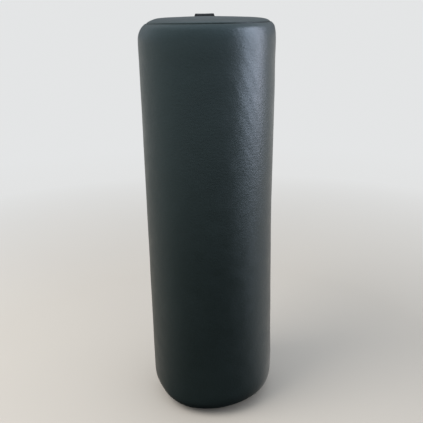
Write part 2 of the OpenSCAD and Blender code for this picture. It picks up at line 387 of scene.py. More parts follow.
def about_corner(corner, upward, radius, height):
    """Distance and angle in degrees about a rounding's middle; the angle turns up or down."""
    out, away = radius - corner[0], upward * (height - corner[1])
    return np.hypot(out, away), np.degrees(np.arctan2(away, out))


def settle_ends(points):
    """Shifts the two rounded ends a little off round, as they sit on a stuffed cover.

    The top seam has slipped a little down the front, and the cap dips towards +X. The
    shoulder towards -X has slumped, and so has the foot on that side. The foot is fuller
    at the front left and lifts a little at the front right.
    """
    radius = np.maximum(np.hypot(points[:, 0], points[:, 1]), 1e-9)
    turn = np.arctan2(points[:, 0], -points[:, 1])
    degrees = np.degrees(turn)

    size, angle = about_corner(TOP_CORNER, 1, radius, points[:, 2])
    away_from_loop = 1 - smoothstep(np.abs(degrees), 105, 150)
    right = np.clip(np.sin(turn), 0, 1) ** 2
    left = np.clip(-np.sin(turn), 0, 1) ** 2
    slip = (3 + 3 * right ** 2 - 4.5 * left) * away_from_loop * hump(angle, 56, 50)
    slump = 3.6 * MM * bell(degrees, -88, 42) * hump(angle, 48, 62)
    size, angle = size * (1 - slump / TOP_ROUNDING), np.radians(angle - slip)
    dip = 0.6 * MM * smoothstep(points[:, 0], 0, 50 * MM) * smoothstep(angle, 0.5, 1.5)
    top_radius = TOP_CORNER[0] + size * np.cos(angle)
    top_height = TOP_CORNER[1] + size * np.sin(angle) - dip

    size, angle = about_corner(BOTTOM_CORNER, -1, radius, points[:, 2])
    slump = (3.0 * bell(degrees, -70, 20) - 3.8 * bell(degrees, -36, 30)) * hump(angle, 40, 40)
    lift = 3.6 * bell(degrees, 50, 28) * hump(angle, 58, 32)
    size, angle = size * (1 - (slump + lift) * MM / BOTTOM_ROUNDING), np.radians(angle)
    foot_radius = BOTTOM_CORNER[0] + size * np.cos(angle)
    foot_height = BOTTOM_CORNER[1] - size * np.sin(angle)

    top = points[:, 2] > LENGTH / 2
    scale = np.where(top, top_radius, foot_radius) / radius
    height = np.where(top, top_height, foot_height)
    return np.c_[points[:, 0] * scale, points[:, 1] * scale, height]


# ---------------------------------------------------------------- the cover's panels
def soft_surface(points):
    """Shallow unevenness of wadding felt through the cover, as a move along the normal."""
    broad = noise_at(points * [1, 1, 0.7], 60 * MM, 1)
    middle = noise_at(points * [1, 1, 0.8], 22 * MM, 2)
    fine = noise_at(points, 9 * MM, 3)
    return 0.34 * MM * broad + 0.13 * MM * middle + 0.04 * MM * fine


def drag_folds(points):
    """A few faint slanting tension folds on the upper right of the front."""
    turn = np.arctan2(points[:, 0], -points[:, 1])
    fall = LENGTH - points[:, 2]
    slant = 0.86 * turn * BODY_RADIUS - 0.5 * fall
    wobble = 5 * MM * noise_at(points, 70 * MM, 5)
    waves = np.sin((slant + wobble) / (2.6 * MM))
    upper = bell(turn, 0.62, 0.28) * bell(fall, 0.1, 0.06)
    lower = bell(turn, 0.75, 0.22) * bell(fall, 0.19, 0.05)
    return 0.085 * MM * waves * (upper + 0.6 * lower)


def waist(points):
    """The side towards +X is pressed in a little at half height and full near the floor."""
    side = np.clip(points[:, 0] / BODY_RADIUS, 0, 1) ** 2
    height = points[:, 2] / LENGTH
    return (1.5 * bell(height, 0.11, 0.06) - 1.9 * bell(height, 0.53, 0.24)) * MM * side


def stitch_dips(points):
    """The row of topstitches beside the zip pulls the cover down between small puffs."""
    along = smoothstep(points[:, 2], ZIP_LOW - 4 * MM, ZIP_LOW) * (
        1 - smoothstep(points[:, 2], ZIP_HIGH, ZIP_HIGH + 4 * MM))
    beat = 0.75 + 0.25 * np.cos(TURN * (points[:, 2] - ZIP_LOW) / STITCH_PITCH)
    row = bell(np.abs(points[:, 0]), STITCH_X, 1.3 * MM)
    return -0.38 * MM * row * along * beat * (points[:, 1] > 0)


def slot_roll(points):
    """Turns the cover down along the edges of the zip opening."""
    roll = 1.7 * MM
    past_side = np.abs(points[:, 0]) - OPENING
    past_end = np.maximum(ZIP_LOW - points[:, 2], points[:, 2] - ZIP_HIGH)
    past = np.clip(np.maximum(past_side, past_end), 0, roll)
    drop = roll - np.sqrt(np.maximum(roll ** 2 - (roll - past) ** 2, 0))
    return -drop * (points[:, 1] > 0)


def displace(obj, amount):
    set_coordinates(obj, coordinates(obj) + vertex_normals(obj) * amount[:, None])


def mark_seam_shade(obj, points, *seam_heights):
    """Stores how close each vertex is to a seam, for the painted shade that dims the leatherette's
    shine along its seams.
    """
    radius = np.hypot(points[:, 0], points[:, 1])
    away = [np.hypot(radius - SEAM_RADIUS, points[:, 2] - z) for z in seam_heights]
    closeness = np.exp(-(np.min(away, axis=0) / SEAM_SHADE) ** 2)
    layer = obj.data.attributes.new("near_seam", "FLOAT", "POINT")
    layer.data.foreach_set("value", closeness.astype(np.float32))


def build_tube(material):
    outline = tube_outline()
    angles = tube_angles()
    points, faces = revolve_grid(outline, angles)
    rows = np.repeat(np.arange(len(outline)), len(angles))
    from_end = np.minimum(rows, len(outline) - 1 - rows)
    pinned = np.select([from_end < 9, from_end < 11, from_end < 13], [1.0, 0.6, 0.3], 0.0)
    near_zip = (np.abs(points[:, 0]) < 17 * MM) & (points[:, 1] > 0)
    pinned = np.where(near_zip, 1.0, pinned)
    points = settle(points, faces, pinned, 0.5, 2.0 * MM)
    obj = new_object("cover_tube_leatherette", points, faces, material)
    subdivide(obj)
    points = coordinates(obj)
    low_z, high_z = outline[3, 1], outline[-4, 1]
    outside = smoothstep(np.hypot(points[:, 0], points[:, 1]), SEAM_RADIUS + 3 * MM,
                         SEAM_RADIUS + 8 * MM)
    zip_band = 1 - (1 - smoothstep(np.abs(points[:, 0]), 11 * MM, 30 * MM)) * (points[:, 1] > 0)
    from_middle = np.abs(points[:, 2] - LENGTH / 2)
    ends = smoothstep(from_middle, LENGTH / 2 - 65 * MM, LENGTH / 2 - 25 * MM)
    amount = soft_surface(points) + drag_folds(points) + waist(points) + BULGE * ends
    amount *= outside * zip_band
    amount += pucker(points, high_z, 11) + pucker(points, low_z, 12)
    amount += stitch_dips(points) + slot_roll(points)
    displace(obj, amount)
    points = coordinates(obj)
    near_seam = 1 - smoothstep(np.hypot(points[:, 0], points[:, 1]), SEAM_RADIUS + 2.5 * MM,
                               SEAM_RADIUS + 8 * MM)
    mark_seam_shade(obj, points, low_z, high_z)
    points = move_radially(points, LOOP_GAP * loop_window(points) * near_seam)
    set_coordinates(obj, settle_ends(points))
    cut_zip_opening(obj)
    thicken(obj, SHEET)
    return obj


def cut_zip_opening(obj):
    """Removes the cover between the turned edges and turns those edges in."""
    work = bmesh.new()
    work.from_mesh(obj.data)

    def in_slot(vertex, slack, half_width):
        x, y, z = vertex.co
        return y > 0 and abs(x) < half_width and ZIP_LOW - slack < z < ZIP_HIGH + slack

    slack = 0.35 * MM
    doomed = [face for face in work.faces
              if all(in_slot(v, slack, OPENING + slack) for v in face.verts)]
    bmesh.ops.delete(work, geom=doomed, context="FACES")
    rim = [edge for edge in work.edges if edge.is_boundary
           and all(in_slot(v, 1 * MM, 2 * OPENING) for v in edge.verts)]
    made = bmesh.ops.extrude_edge_only(work, edges=rim)["geom"]
    for vertex in (g for g in made if isinstance(g, bmesh.types.BMVert)):
        tuck = (BODY_RADIUS - 2.25 * MM) / math.hypot(vertex.co.x, vertex.co.y)
        vertex.co.x *= tuck
        vertex.co.y *= tuck
    store(work, obj)


def build_cap(name, outline, seam_z, seed, material, flat_rows=0):
    """A round end panel that ends in a fan at its centre.

    A panel with flat rows rests on the floor, and its outline starts at the centre.
    """
    angles = np.linspace(0, TURN, 144, endpoint=False)
    points, faces = revolve_grid(outline, angles)
    columns, last, rests = len(angles), len(outline) - 1, flat_rows > 0
    centre_row = 0 if rests else last
    faces += fan_faces(centre_row * columns, columns, len(points), flip=rests)
    points = np.vstack([points, [0, 0, outline[centre_row, 1]]])
    rows = np.append(np.repeat(np.arange(len(outline)), columns), centre_row)
    from_edge = last - rows if rests else rows
    pinned = np.select([from_edge < 8, from_edge < 10, from_edge < 12], [1.0, 0.6, 0.3], 0.0)
    pinned = np.where(last - from_edge < flat_rows, 1.0, pinned)
    points = settle(points, faces, pinned, 40, 1.2 * MM)
    obj = new_object(name, points, faces, material)
    subdivide(obj)
    points = coordinates(obj)
    radius = np.hypot(points[:, 0], points[:, 1])
    inner = 1 - smoothstep(radius, SEAM_RADIUS - 9 * MM, SEAM_RADIUS - 3 * MM)
    amount = 0.7 * soft_surface(points) * inner + pucker(points, seam_z, seed)
    if rests:
        amount *= smoothstep(radius, BOTTOM_CORNER[0], BOTTOM_CORNER[0] + 8 * MM)
    displace(obj, amount)
    points = coordinates(obj)
    mark_seam_shade(obj, points, seam_z)
    near_seam = smoothstep(radius, SEAM_RADIUS - 8 * MM, SEAM_RADIUS - 2.5 * MM)
    points = move_radially(points, -LOOP_GAP * loop_window(points) * near_seam)
    points = settle_ends(points)
    points[:, 2] = np.maximum(points[:, 2], 0.02 * MM)
    set_coordinates(obj, points)
    thicken(obj, SHEET)
    return obj


# ---------------------------------------------------------------- materials
class Nodes:
    """A node tree and the few calls that wire it."""

    def __init__(self, tree):
        self.nodes, self.links = tree.nodes, tree.links

    def wire(self, source, target):
        if isinstance(source, bpy.types.NodeSocket):
            self.links.new(source, target)
        else:
            target.default_value = source

    def add(self, kind, inputs, **settings):
        """Adds a node with its settings, then wires its inputs by name or by number."""
        node = self.nodes.new("ShaderNode" + kind)
        for name, value in settings.items():
            setattr(node, name, value)
        for socket, source in inputs.items():
            self.wire(source, node.inputs[socket])
        return node

    def math(self, operation, a, b=0.0):
        return self.add("Math", {0: a, 1: b}, operation=operation).outputs[0]

    def ramp(self, value, low, high, low_at=0.3, high_at=0.7):
        """Blends between two colours, or two numbers given as greys."""
        node = self.add("ValToRGB", {"Fac": value})
        ends = node.color_ramp.elements
        ends[0].position, ends[1].position = low_at, high_at
        for end, colour in zip(ends, (low, high)):
            end.color = (*colour, 1) if isinstance(colour, tuple) else (colour, colour, colour, 1)
        return node.outputs["Color"]

    def fade(self, value, low, high, low_at, high_at):
        """Goes smoothly from low to high while the value goes from low_at to high_at."""
        span = {"Value": value, "From Min": low_at, "From Max": high_at, "To Min": low,
                "To Max": high}
        return self.add("MapRange", span, interpolation_type="SMOOTHSTEP").outputs["Result"]

    def mix(self, share, a, b):
        return self.add("Mix", {0: share, 6: a, 7: b}, data_type="RGBA").outputs[2]

    def mix_shaders(self, share, a, b):
        return self.add("MixShader", {0: share, 1: a, 2: b}).outputs[0]

    def by_view(self, mirrored, seen):
        """One shader for what the camera sees and another for reflections and light."""
        return self.mix_shaders(self.add("LightPath", {}).outputs["Is Camera Ray"], mirrored, seen)


class Look(Nodes):
    """A Principled material, its textures placed in metres."""

    def __init__(self, name, **sockets):
        self.material = bpy.data.materials.new(name)
        self.material.use_nodes = True
        super().__init__(self.material.node_tree)
        self.shader = self.nodes["Principled BSDF"]
        self.place = self.add("TexCoord", {}).outputs["Object"]
        self.set(**sockets)

    def set(self, **sockets):
        for name, source in sockets.items():
            self.wire(source, self.shader.inputs[name.replace("_", " ")])
        return self.material

    def stretched(self, scale, turn=(0, 0, 0)):
        inputs = {"Vector": self.place, "Scale": scale, "Rotation": turn}
        return self.add("Mapping", inputs).outputs[0]

    def noise(self, scale, detail=2.0, roughness=0.5, place=None):
        inputs = {"Vector": place or self.place, "Scale": scale, "Detail": detail,
                  "Roughness": roughness}
        return self.add("TexNoise", inputs).outputs["Fac"]

    def cells(self, scale, feature="SMOOTH_F1"):
        inputs = {"Vector": self.place, "Scale": scale}
        return self.add("TexVoronoi", inputs, feature=feature).outputs["Distance"]

    def waves(self, scale, direction, distortion=0.0):
        inputs = {"Vector": self.place, "Scale": scale, "Distortion": distortion}
        return self.add("TexWave", inputs, bands_direction=direction).outputs["Fac"]

    def bump(self, height, distance, strength, under=None):
        inputs = {"Height": height, "Distance": distance, "Strength": strength}
        if under is not None:
            inputs["Normal"] = under
        return self.add("Bump", inputs).outputs["Normal"]

    def ridges(self):
        """High on outward edges and low in creases."""
        return self.add("NewGeometry", {}).outputs["Pointiness"]

    def axes(self):
        return self.add("SeparateXYZ", {0: self.place}).outputs

    def glow(self, colour):
        return self.add("Emission", {"Color": colour}).outputs[0]


def leatherette_look():
    """Satin black: fine grain, soft creases and dimples, with painted shade in its seams, where
    the shine is cut down.
    """
    look = Look("leatherette")
    grain = look.math("MULTIPLY", look.cells(760), 0.9)
    pores = look.math("MULTIPLY", look.noise(2300, 2, 0.6), 0.35)
    fine = look.bump(look.math("ADD", grain, pores), 0.07 * MM, 0.5)
    creases = look.noise(210, 4, 0.62, look.stretched((1, 1, 1.6), (0, 0.35, 0)))
    creased = look.bump(creases, 0.5 * MM, 0.5, fine)
    normal = look.bump(look.noise(62, 3, 0.55), 0.7 * MM, 0.25, creased)
    tone = look.ramp(look.noise(5, 4, 0.55), (0.0122, 0.017, 0.0155), (0.016, 0.022, 0.0205))
    worn = look.math("MULTIPLY", look.ramp(look.ridges(), 0.0, 1.0, 0.52, 0.6), 0.35)
    # painted shade: ambient occlusion cuts the shine down in hollows and creases
    open_to_light = look.add("AmbientOcclusion", {"Distance": 4.5 * MM}).outputs["AO"]
    shine_with_painted_shade = look.ramp(open_to_light, 0.01, 0.5, 0.42, 0.92)
    # painted shade: close to the seams the stored near_seam closeness cuts the shine down further
    seam = look.add("Attribute", {}, attribute_name="near_seam").outputs["Fac"]
    shine_with_painted_shade = look.mix(look.math("MULTIPLY", seam, 0.65), shine_with_painted_shade, (0.05, 0.05, 0.05, 1))
    return look.set(Base_Color=look.mix(worn, tone, (0.04, 0.05, 0.054, 1)), Normal=normal,
                    Roughness=look.ramp(look.noise(45, 5, 0.65), 0.32, 0.42),
                    Specular_IOR_Level=shine_with_painted_shade, Specular_Tint=(0.64, 0.88, 1.0, 1))


def webbing_look():
    """Black ribbed tape, darker towards its edges: painted shade."""
    look = Look("webbing", Roughness=0.75, Specular_IOR_Level=0.3)
    weave = look.math("MULTIPLY", look.waves(330, "X"), look.waves(260, "Z", 0.4))
    fuzz = look.math("MULTIPLY", look.noise(3500, 3, 0.7), 0.4)
    tone = look.ramp(weave, (0.008, 0.01, 0.011), (0.04, 0.048, 0.05), 0.1, 0.9)
    # painted shade: the tape's colour darkens from its middle to its edges
    from_middle = look.math("ABSOLUTE", look.math("SUBTRACT", look.axes()["X"], LOOP_SHIFT))
    edge_painted_shade = look.ramp(look.math("DIVIDE", from_middle, LOOP_TOP), 0.0, 1.0, 0.7, 0.95)
    return look.set(Base_Color=look.mix(edge_painted_shade, tone, (0.004, 0.005, 0.006, 1)),
                    Normal=look.bump(look.math("ADD", weave, fuzz), 0.3 * MM, 0.9),
                    Sheen_Weight=0.3, Sheen_Roughness=0.5)


def zip_tape_look():
    look = Look("zip_tape", Roughness=0.8, Specular_IOR_Level=0.25)
    weave = look.math("MULTIPLY", look.waves(620, "DIAGONAL", 0.2), look.waves(900, "Z"))
    tone = look.ramp(weave, (0.009, 0.01, 0.011), (0.026, 0.028, 0.031), 0.1, 0.9)
    return look.set(Base_Color=tone, Normal=look.bump(weave, 0.1 * MM, 0.8), Sheen_Weight=0.25)


def coil_look():
    look = Look("zip_coil", Specular_IOR_Level=0.55)
    tone = look.ramp(look.noise(400), (0.011, 0.011, 0.012), (0.02, 0.02, 0.022))
    return look.set(Base_Color=tone, Roughness=look.ramp(look.noise(1500), 0.26, 0.42))


def zip_metal_look():
    """Black enamel, worn to metal along its edges."""
    look = Look("zip_metal", Metallic=0.85)
    edges = look.math("ADD", look.ridges(), look.math("MULTIPLY", look.noise(900, 3), 0.06))
    worn = look.ramp(edges, 0.0, 1.0, 0.57, 0.72)
    return look.set(Base_Color=look.mix(worn, (0.03, 0.031, 0.034, 1), (0.2, 0.195, 0.19, 1)),
                    Roughness=look.ramp(look.noise(1200, 4, 0.7), 0.3, 0.5),
                    Normal=look.bump(look.noise(2500, 3), 0.02 * MM, 0.5))


def thread_look():
    look = Look("thread", Roughness=0.6, Specular_IOR_Level=0.35)
    twist = look.waves(900, "DIAGONAL")
    tone = look.ramp(twist, (0.03, 0.033, 0.036), (0.085, 0.09, 0.097), 0.2, 0.8)
    return look.set(Base_Color=tone, Normal=look.bump(twist, 0.08 * MM, 0.7), Sheen_Weight=0.2)


def foam_look():
    look = Look("foam", Roughness=0.9, Specular_IOR_Level=0.2)
    holes = look.cells(950, "F1")
    tone = look.ramp(holes, (0.62, 0.54, 0.33), (0.8, 0.73, 0.5), 0.15, 0.6)
    return look.set(Base_Color=tone, Normal=look.bump(holes, 0.4 * MM, 0.8))


def wadding_look():
    look = Look("wadding", Roughness=0.95, Specular_IOR_Level=0.15)
    fibres = look.noise(260, 6, 0.75, look.stretched((1, 1, 0.35)))
    tone = look.ramp(fibres, (0.74, 0.74, 0.71), (0.9, 0.9, 0.88))
    return look.set(Base_Color=tone, Normal=look.bump(fibres, 0.8 * MM, 0.7), Sheen_Weight=0.5)


LEATHERETTE = leatherette_look()
WEBBING = webbing_look()
ZIP_TAPE = zip_tape_look()
COIL = coil_look()
ZIP_METAL = zip_metal_look()
THREAD = thread_look()
FOAM = foam_look()
WADDING = wadding_look()


# ---------------------------------------------------------------- the carry loop
def strip_path(points, step):
    """Points at even steps along a broken line, corners kept."""
    path = [points[0]]
    for start, end in zip(points, points[1:]):
        steps = max(2, round((end[1] - start[1]) / step))
        path += [tuple(p) for p in np.linspace(start, end, steps + 1)[1:]]
    return path


def build_loop(material):
    """A folded strip of webbing: two tails in the seam, two legs and a rounded fold."""
    low_z, high_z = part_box("carry_loop_tails")[0].z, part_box("carry_loop")[1].z
    seam_z = LOOP_HINGE.z
    thickness, leg, fold = 1.25 * MM, 0.75 * MM, 1.35 * MM
    fold_z = high_z - fold - thickness / 2
    outer = strip_path([(-leg, low_z + 0.5 * MM), (-leg, seam_z), (-leg * 1.25, seam_z + 2 * MM),
                        (-fold, fold_z)], 0.55 * MM)
    turn = [(-fold * math.cos(a), fold_z + fold * math.sin(a))
            for a in np.linspace(0, math.pi, 13)[1:-1]]
    path = np.array(outer + turn + [(-y, z) for y, z in reversed(outer)])
    tangent = np.gradient(path, axis=0)
    tangent /= np.linalg.norm(tangent, axis=1)[:, None]
    normal = np.c_[-tangent[:, 1], tangent[:, 0]]
    share = np.clip((path[:, 1] - seam_z) / (high_z - seam_z), 0, 1)
    half = LOOP_BASE + (LOOP_TOP - LOOP_BASE) * share ** 1.2
    strip = np.linspace(-1, 1, 57)
    across, face = np.r_[strip, strip[::-1]], np.repeat([1, -1], len(strip))
    rings = []
    for (y, z), (ny, nz), width, rise in zip(path, normal, half, share):
        x = across * width + LOOP_SHIFT
        sag = -0.35 * MM * (1 - across ** 2) * rise
        ribs = 0.06 * MM * np.cos(across * 28 * math.pi / 2) * math.cos(z / (0.35 * MM))
        edge = np.sqrt(np.maximum(1 - np.abs(across) ** 14, 0.02))
        offset = face * (thickness / 2 + ribs) * edge
        bend = np.sqrt(np.maximum((SEAM_RADIUS + y) ** 2 - x ** 2 * (1 - rise), 1e-6))
        rings.append(np.c_[x, bend + ny * offset, z + sag + nz * offset])
    around = len(across)
    faces = grid_faces(len(path), around)
    for first in (0, (len(path) - 1) * around):
        faces += [(first + i, first + i + 1, first + around - 2 - i, first + around - 1 - i)
                  for i in range(len(strip) - 1)]
    obj = new_object("carry_loop_webbing", np.vstack(rings), faces, material)
    work = bmesh.new()
    work.from_mesh(obj.data)
    bmesh.ops.recalc_face_normals(work, faces=work.faces)
    store(work, obj)
    return obj


# ---------------------------------------------------------------- the zip
def tube_along(path, radius, sides):
    """Points and faces of a round tube that follows a path; its ends are capped."""
    path = np.asarray(path, float)
    tangent = np.gradient(path, axis=0)
    tangent /= np.linalg.norm(tangent, axis=1)[:, None]
    first = np.cross(tangent, (0.31, 0.22, 0.93))
    first /= np.linalg.norm(first, axis=1)[:, None]
    second = np.cross(tangent, first)
    reach = np.broadcast_to(radius, len(path))[:, None]
    rings = [path + reach * (math.cos(angle) * first + math.sin(angle) * second)
             for angle in np.linspace(0, TURN, sides, endpoint=False)]
    faces = grid_faces(len(path), sides)
    faces.append(tuple(range(sides))[::-1])
    faces.append(tuple((len(path) - 1) * sides + i for i in range(sides)))
    return np.stack(rings, axis=1).reshape(-1, 3), faces


def build_coil(name, node, side, material):
    """One coil of monofilament, wound along the edge of its tape."""
    low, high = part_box(node)
    wire, pitch, width = 0.33 * MM, 1.8 * MM, 3.0 * MM
    depth = (high.y - low.y) / 2 - wire - 0.02 * MM
    inner, outer = 0.12 * MM + wire, width - wire
    turns = int((high.z - low.z - 2 * wire) / pitch)
    steps = 12
    t = np.arange(turns * steps) / steps
    start = low.z + wire + (pitch / 2 if side > 0 else 0)
    path = np.c_[side * ((inner + outer) / 2 + (outer - inner) / 2 * np.cos(TURN * t)),
                 (low.y + high.y) / 2 + depth * np.sin(TURN * t),
                 start + t * (high.z - low.z - pitch) / turns]
    points, faces = tube_along(path, wire, 6)
    return new_object(name, points, faces, material)


def build_stitches(material):
    """Two rows of sunk stitches along the turned edges of the opening."""
    low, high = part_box("zip_topstitching")
    sunk = 0.95 * MM
    t = np.linspace(0, 1, 9)
    lift = np.sin(math.pi * t) ** 0.6
    radius = BODY_RADIUS - sunk + sunk * lift
    thick = 0.34 * MM * (0.75 + 0.25 * lift)
    slant = 0.22 * MM * (t - 0.5) * 2
    all_points, all_faces, base = [], [], 0
    for side in (-1, 1):
        x = side * STITCH_X + slant
        y = np.sqrt(radius ** 2 - x ** 2)
        for i in range(round((high.z - low.z) / STITCH_PITCH)):
            z = ZIP_LOW + (i + 0.16) * STITCH_PITCH + STITCH_LENGTH * t
            points, faces = tube_along(np.c_[x, y, z], thick, 7)
            all_points.append(points)
            all_faces += [tuple(v + base for v in face) for face in faces]
            base += len(points)
    return new_object("zip_topstitches", np.vstack(all_points), all_faces, material)


def rounded_plate(work, outline, y_low, y_high, edge):
    """Adds a plate with softened rims from an (x, z) outline."""
    outline = np.asarray(outline, float)
    away = outline - outline.mean(axis=0)
    size = np.linalg.norm(away, axis=1)[:, None]
    rings = []
    for y, inset in ((y_low, edge), (y_low + 0.3 * edge, 0.3 * edge), (y_low + edge, 0),
                     (y_high - edge, 0), (y_high - 0.3 * edge, 0.3 * edge), (y_high, edge)):
        rings.append([work.verts.new((x, y, z)) for x, z in outline - away * inset / size])
    for lower, upper in zip(rings, rings[1:]):
        for i, j in zip(range(len(lower)), np.roll(range(len(lower)), -1)):
            work.faces.new((lower[i], lower[j], upper[j], upper[i]))
    work.faces.new(rings[0][::-1])
    work.faces.new(rings[-1])


def build_slider(material):
    """Zip slider: two shaped plates, side flanges, a thin post and an eye for the pull."""
    low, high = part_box("zip_slider")
    plate, squareness, flange_y = 1.2 * MM, 3.4, 97.66 * MM
    centre_z, half_length = PULL_HINGE.z, (high.z - low.z) / 2
    top_y = PULL_HINGE.y - 1.6 * MM - plate
    work = bmesh.new()
    outline = []
    for angle in np.linspace(0, TURN, 40, endpoint=False):
        x, z = math.cos(angle), math.sin(angle)
        size = (abs(x) ** squareness + abs(z) ** squareness) ** (-1 / squareness)
        rise = z * size * half_length
        narrower = 1 - 0.16 * smoothstep(-rise, 0, half_length)
        outline.append((x * size * high.x * narrower, centre_z + rise))
    rounded_plate(work, outline, top_y, top_y + plate, 0.4 * MM)
    rounded_plate(work, outline, low.y, low.y + plate, 0.35 * MM)
    for side in (-1, 1):
        flange = [(side * x * MM, centre_z + z * MM) for x, z in
                  ((3.12, -3.6), (3.7, -3.6), (4.05, 3.8), (3.12, 3.8))]
        rounded_plate(work, flange[::side], flange_y, top_y + 0.3 * MM, 0.1 * MM)
    post = [(x * MM, centre_z + z * MM) for x, z in
            ((-0.08, 1.8), (0.08, 1.8), (0.08, 4.6), (-0.08, 4.6))]
    rounded_plate(work, post, low.y + 0.5 * plate, top_y + 0.5 * plate, 0.01 * MM)
    eye = [(0, PULL_HINGE.y + 1.45 * MM * math.sin(angle), centre_z + 1.75 * MM * math.cos(angle))
           for angle in np.linspace(-0.35, math.pi + 0.35, 19)]
    points, faces = tube_along(eye, 0.55 * MM, 10)
    verts = [work.verts.new(point) for point in points]
    for face in faces:
        work.faces.new([verts[i] for i in face])
    bmesh.ops.recalc_face_normals(work, faces=work.faces)
    obj = new_object("zip_slider_body", [], [], material)
    store(work, obj)
    return obj


def soften_edges(obj, width):
    """Rounds a CAD part's edges without touching its own mesh."""
    modifier = obj.modifiers.new("softened_edges", "BEVEL")
    modifier.width = width
    modifier.segments = 3
    modifier.limit_method = "ANGLE"
    modifier.angle_limit = math.radians(35)


def paint(node, material):
    """Gives a CAD node that stays in view its material."""
    obj = frame["nodes"][node]
    obj.data.materials.clear()
    obj.data.materials.append(material)
    return obj


# ---------------------------------------------------------------- the filling
def build_filling(name, outline, material, roughness, seed):
    """A soft solid of revolution whose surface is uneven towards its inside only."""
    angles = np.linspace(0, TURN, 96, endpoint=False)
    has_hole = outline[0, 0] > 2 * MM
    points, faces = revolve_grid(outline, angles, closed=has_hole)
    if not has_hole:
        base, columns = len(points), len(angles)
        points = np.vstack([points, [0, 0, outline[0, 1]], [0, 0, outline[-1, 1]]])
        faces += fan_faces(0, columns, base, flip=True)
        faces += fan_faces(base - columns, columns, base + 1)
    obj = new_object(name, points, faces, material)
    dent = roughness * (0.5 + 0.5 * np.clip(noise_at(points, 30 * MM, seed), -1, 1))
    displace(obj, -dent)
    set_coordinates(obj, settle_ends(coordinates(obj)))
    return obj


def build_seam_thread(name, node, material):
    """The run of thread inside an end seam, in the middle of its two allowances."""
    low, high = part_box(node)
    half = (high.z - low.z) / 2 - 0.02 * MM
    outline = arc((SEAM_RADIUS, (low.z + high.z) / 2), half, 0, 315, 8)
    return build_filling(name, outline, material, 0, 25)


def rounded_cylinder(radius, low_z, high_z, low_round, high_round):
    """Outline from the axis at the bottom to the axis at the top."""
    low_corner = (radius - low_round, low_z + low_round)
    high_corner = (radius - high_round, high_z - high_round)
    return join_outline(
        line((1 * MM, low_z), (low_corner[0], low_z), 10),
        arc(low_corner, low_round, -90, 0, 9),
        line((radius, low_corner[1]), (radius, high_corner[1]), 60),
        arc(high_corner, high_round, 0, 90, 9),
        line((high_corner[0], high_z), (1 * MM, high_z), 10),
    )


def build_foam(material):
    low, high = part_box("foam_core")
    inset = BODY_RADIUS - high.x
    outline = rounded_cylinder(high.x, low.z, high.z, BOTTOM_ROUNDING - inset,
                               TOP_ROUNDING - inset)
    return build_filling("foam_core_block", outline, material, 0.5 * MM, 21)


def build_wrap(material):
    """Wadding sleeve, relieved at the back for the zip and pressed in at the waist."""
    inner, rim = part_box("foam_core")[1].x + 0.15 * MM, 91.8 * MM
    low_z, high_z = 25 * MM, LENGTH - 15.7 * MM
    inner_z = high_z - 2.5 * MM
    low_arc = arc(BOTTOM_CORNER, BOTTOM_ROUNDING - FILL_INSET, -23, 0, 5)
    high_arc = arc(TOP_CORNER, TOP_ROUNDING - FILL_INSET, 0, 20, 5)
    outline = join_outline(low_arc, line(low_arc[-1], high_arc[0], 70), high_arc,
                           line(high_arc[-1], (rim, high_z), 3),
                           line((rim, high_z), (inner, inner_z), 3),
                           line((inner, inner_z), (inner, low_z), 50))
    points, faces = revolve_grid(outline, tube_angles(), closed=True)
    radius, across = np.hypot(points[:, 0], points[:, 1]), np.abs(points[:, 0])
    groove = (radius - 96.6 * MM) * (1 - smoothstep(across, 18 * MM, 24 * MM))
    channel = 1.6 * MM * (1 - smoothstep(across, 6.5 * MM, 10 * MM))
    relief = np.where(points[:, 1] > 0, groove.clip(0, 1) + channel, 0)
    dent = 0.25 * MM * (1 + np.clip(noise_at(points, 25 * MM, 22), -1, 1))
    change = np.where(radius > 93 * MM, waist(points) - dent - relief, 0)
    points = settle_ends(move_radially(points, change))
    return new_object("wadding_wrap_fleece", points, faces, material)


def build_top_pad(material):
    corner_r, corner_z = TOP_CORNER
    over = TOP_ROUNDING - FILL_INSET
    under = over - PAD_THICKNESS
    rim_low, under_end = corner_z + 6 * MM, 32
    under_rim = corner_r + under * math.cos(math.radians(under_end))
    rim_angle = math.acos((PAD_RIM - corner_r) / over)
    outline = join_outline(
        line((1 * MM, corner_z + under), (corner_r, corner_z + under), 10),
        arc(TOP_CORNER, under, 90, under_end, 6),
        line((under_rim, rim_low), (PAD_RIM, rim_low), 3),
        line((PAD_RIM, rim_low), (PAD_RIM, corner_z + over * math.sin(rim_angle)), 5),
        arc(TOP_CORNER, over, math.degrees(rim_angle), 90, 7),
        line((corner_r, corner_z + over), (1 * MM, corner_z + over), 10),
    )
    return build_filling("top_wadding_disc", outline, material, 0.3 * MM, 23)


def build_bottom_pad(material):
    corner_r, corner_z = BOTTOM_CORNER
    under = BOTTOM_ROUNDING - FILL_INSET
    over = under - PAD_THICKNESS
    fall = 16 * MM
    rim_high = corner_z - fall
    rim_angle = math.acos((PAD_RIM - corner_r) / under)
    over_angle = math.asin(fall / over)
    outline = join_outline(
        line((1 * MM, corner_z - under), (corner_r, corner_z - under), 10),
        arc(BOTTOM_CORNER, under, -90, -math.degrees(rim_angle), 8),
        line((PAD_RIM, corner_z - under * math.sin(rim_angle)), (PAD_RIM, rim_high), 4),
        line((PAD_RIM, rim_high), (corner_r + over * math.cos(over_angle), rim_high), 3),
        arc(BOTTOM_CORNER, over, -math.degrees(over_angle), -90, 8),
        line((corner_r, corner_z - over), (1 * MM, corner_z - over), 10),
    )
    return build_filling("bottom_wadding_disc", outline, material, 0.3 * MM, 24)


